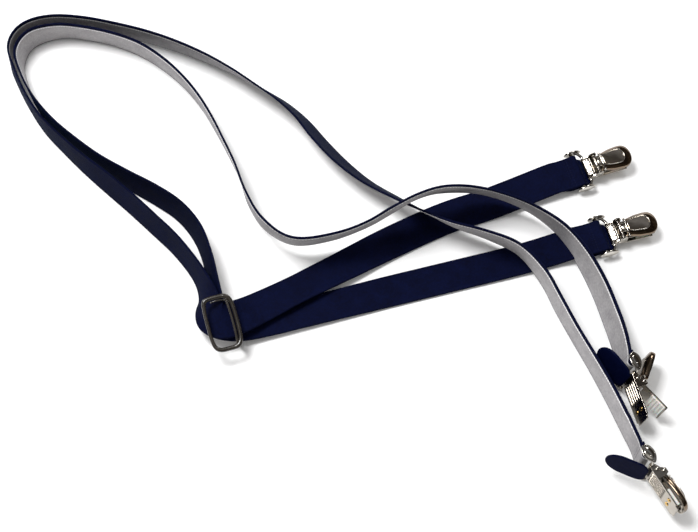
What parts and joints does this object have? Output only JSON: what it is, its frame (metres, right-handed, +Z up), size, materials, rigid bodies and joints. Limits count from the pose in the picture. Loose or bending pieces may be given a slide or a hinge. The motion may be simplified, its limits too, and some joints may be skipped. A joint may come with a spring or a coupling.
{
  "type": "suspenders",
  "caption": "Slim navy elastic suspenders with a dark cross slide and lever clips in polished metal, laid out in an open loop.",
  "frame": {"origin": "centre of the bounding box, on the table that the suspenders lie on", "axes": "+X from the loop towards the back clips, +Y away from the front clips, +Z up from the table"},
  "size_m": [0.3949, 0.3323, 0.0413],
  "materials": {
    "webbing": "fine woven elastic, navy face and grey back",
    "clip_metal": "polished nickel",
    "pin_metal": "polished nickel",
    "stud_brass": "polished",
    "pad": "translucent milky",
    "slide_plastic": "glossy dark brown",
    "tongue_leather": "glossy navy, coated"
  },
  "bodies": {
    "root": {"strap_a": "webbing", "strap_b": "webbing", "slide_front_frame": "slide_plastic", "slide_back_bar": "slide_plastic", "slide_rivets": "slide_plastic", "back_a_fold": "webbing", "back_b_fold": "webbing", "front_a_fold": "webbing", "front_b_fold": "webbing"},
    "back_a_yoke": {"back_a_yoke": "clip_metal"},
    "back_a_plate": {"back_a_plate": "clip_metal", "back_a_studs": "stud_brass", "back_a_plate_pad": "pad", "back_a_jaw_pin": "pin_metal", "back_a_lever_pin": "pin_metal"},
    "back_a_lever": {"back_a_lever": "clip_metal"},
    "back_a_jaw": {"back_a_jaw": "clip_metal", "back_a_jaw_pad": "pad"},
    "back_a_tongue": {"back_a_tongue": "tongue_leather"},
    "back_b_yoke": {"back_b_yoke": "clip_metal"},
    "back_b_plate": {"back_b_plate": "clip_metal", "back_b_studs": "stud_brass", "back_b_plate_pad": "pad", "back_b_jaw_pin": "pin_metal", "back_b_lever_pin": "pin_metal"},
    "back_b_lever": {"back_b_lever": "clip_metal"},
    "back_b_jaw": {"back_b_jaw": "clip_metal", "back_b_jaw_pad": "pad"},
    "back_b_tongue": {"back_b_tongue": "tongue_leather"},
    "front_a_yoke": {"front_a_yoke": "clip_metal"},
    "front_a_plate": {"front_a_plate": "clip_metal", "front_a_studs": "stud_brass", "front_a_plate_pad": "pad", "front_a_jaw_pin": "pin_metal", "front_a_lever_pin": "pin_metal"},
    "front_a_lever": {"front_a_lever": "clip_metal"},
    "front_a_jaw": {"front_a_jaw": "clip_metal", "front_a_jaw_pad": "pad"},
    "front_a_tongue": {"front_a_tongue": "tongue_leather"},
    "front_b_yoke": {"front_b_yoke": "clip_metal"},
    "front_b_plate": {"front_b_plate": "clip_metal", "front_b_studs": "stud_brass", "front_b_plate_pad": "pad", "front_b_jaw_pin": "pin_metal", "front_b_lever_pin": "pin_metal"},
    "front_b_lever": {"front_b_lever": "clip_metal"},
    "front_b_jaw": {"front_b_jaw": "clip_metal", "front_b_jaw_pad": "pad"},
    "front_b_tongue": {"front_b_tongue": "tongue_leather"}
  },
  "joints": [
    {"name": "back_a_swing", "type": "hinge", "parent": "root", "child": "back_a_yoke", "pos_m": [0.154, 0.0505, 0.0066], "axis": [0.3224, -0.9363, -0.1392], "range_deg": [0, 45]},
    {"name": "back_a_knuckle", "type": "hinge", "parent": "back_a_yoke", "child": "back_a_plate", "pos_m": [0.15967, 0.05245, 0.0066], "axis": [0.3224, -0.9363, -0.1392], "range_deg": [0, 15]},
    {"name": "back_a_lever", "type": "hinge", "parent": "back_a_plate", "child": "back_a_lever", "pos_m": [0.16487, 0.05363, 0.01076], "axis": [0.3224, -0.9363, -0.1392], "range_deg": [0, 125]},
    {"name": "back_a_jaw", "type": "hinge", "parent": "back_a_plate", "child": "back_a_jaw", "pos_m": [0.16256, 0.05327, 0.00779], "axis": [0.3224, -0.9363, -0.1392], "range_deg": [0, 25]},
    {"name": "back_a_tongue", "type": "hinge", "parent": "back_a_plate", "child": "back_a_tongue", "pos_m": [0.16089, 0.05322, 0.00427], "axis": [0.3224, -0.9363, -0.1392], "range_deg": [0, 36], "stiffness_Nm_per_rad": 0.004},
    {"name": "back_b_swing", "type": "hinge", "parent": "root", "child": "back_b_yoke", "pos_m": [0.164, 0.0055, 0.0058], "axis": [0.2585, -0.9646, -0.0523], "range_deg": [0, 45]},
    {"name": "back_b_knuckle", "type": "hinge", "parent": "back_b_yoke", "child": "back_b_plate", "pos_m": [0.1698, 0.00705, 0.0058], "axis": [0.2585, -0.9646, -0.0523], "range_deg": [0, 15]},
    {"name": "back_b_lever", "type": "hinge", "parent": "back_b_plate", "child": "back_b_lever", "pos_m": [0.17497, 0.00821, 0.00999], "axis": [0.2585, -0.9646, -0.0523], "range_deg": [0, 125]},
    {"name": "back_b_jaw", "type": "hinge", "parent": "back_b_plate", "child": "back_b_jaw", "pos_m": [0.17271, 0.00777, 0.007], "axis": [0.2585, -0.9646, -0.0523], "range_deg": [0, 25]},
    {"name": "back_b_tongue", "type": "hinge", "parent": "back_b_plate", "child": "back_b_tongue", "pos_m": [0.17112, 0.00753, 0.00345], "axis": [0.2585, -0.9646, -0.0523], "range_deg": [0, 36], "stiffness_Nm_per_rad": 0.004},
    {"name": "front_a_swing", "type": "hinge", "parent": "root", "child": "front_a_yoke", "pos_m": [0.172, -0.137, 0.0132], "axis": [0.0332, 0.0108, 0.9994], "range_deg": [-10, 45]},
    {"name": "front_a_knuckle", "type": "hinge", "parent": "front_a_yoke", "child": "front_a_plate", "pos_m": [0.17482, -0.1423, 0.01316], "axis": [0.0332, 0.0108, 0.9994], "range_deg": [0, 15]},
    {"name": "front_a_lever", "type": "hinge", "parent": "front_a_plate", "child": "front_a_lever", "pos_m": [0.18101, -0.14501, 0.01299], "axis": [0.0332, 0.0108, 0.9994], "range_deg": [0, 125]},
    {"name": "front_a_jaw", "type": "hinge", "parent": "front_a_plate", "child": "front_a_jaw", "pos_m": [0.17728, -0.14438, 0.0131], "axis": [0.0332, 0.0108, 0.9994], "range_deg": [0, 25]},
    {"name": "front_a_tongue", "type": "hinge", "parent": "front_a_plate", "child": "front_a_tongue", "pos_m": [0.1734, -0.14464, 0.01324], "axis": [0.0332, 0.0108, 0.9994], "range_deg": [-12, 5], "stiffness_Nm_per_rad": 0.004},
    {"name": "front_b_swing", "type": "hinge", "parent": "root", "child": "front_b_yoke", "pos_m": [0.1685, -0.0835, 0.0134], "axis": [0.2406, 0.0253, 0.9703], "range_deg": [-6, 4]},
    {"name": "front_b_knuckle", "type": "hinge", "parent": "front_b_yoke", "child": "front_b_plate", "pos_m": [0.16993, -0.08932, 0.0132], "axis": [0.2406, 0.0253, 0.9703], "range_deg": [0, 3]},
    {"name": "front_b_lever", "type": "hinge", "parent": "front_b_plate", "child": "front_b_lever", "pos_m": [0.17514, -0.09347, 0.01201], "axis": [0.2406, 0.0253, 0.9703], "range_deg": [-145, 5]},
    {"name": "front_b_jaw", "type": "hinge", "parent": "front_b_plate", "child": "front_b_jaw", "pos_m": [0.17177, -0.09195, 0.01281], "axis": [0.2406, 0.0253, 0.9703], "range_deg": [-29, 1]},
    {"name": "front_b_tongue", "type": "hinge", "parent": "front_b_plate", "child": "front_b_tongue", "pos_m": [0.16805, -0.09125, 0.01371], "axis": [0.2406, 0.0253, 0.9703], "range_deg": [-6, 1], "stiffness_Nm_per_rad": 0.004}
  ],
  "couplings": [
    {"joint": "back_a_jaw", "follows": "back_a_lever", "ratio": 0.2},
    {"joint": "back_b_jaw", "follows": "back_b_lever", "ratio": 0.2},
    {"joint": "front_a_jaw", "follows": "front_a_lever", "ratio": 0.2},
    {"joint": "front_b_jaw", "follows": "front_b_lever", "ratio": 0.2}
  ]
}
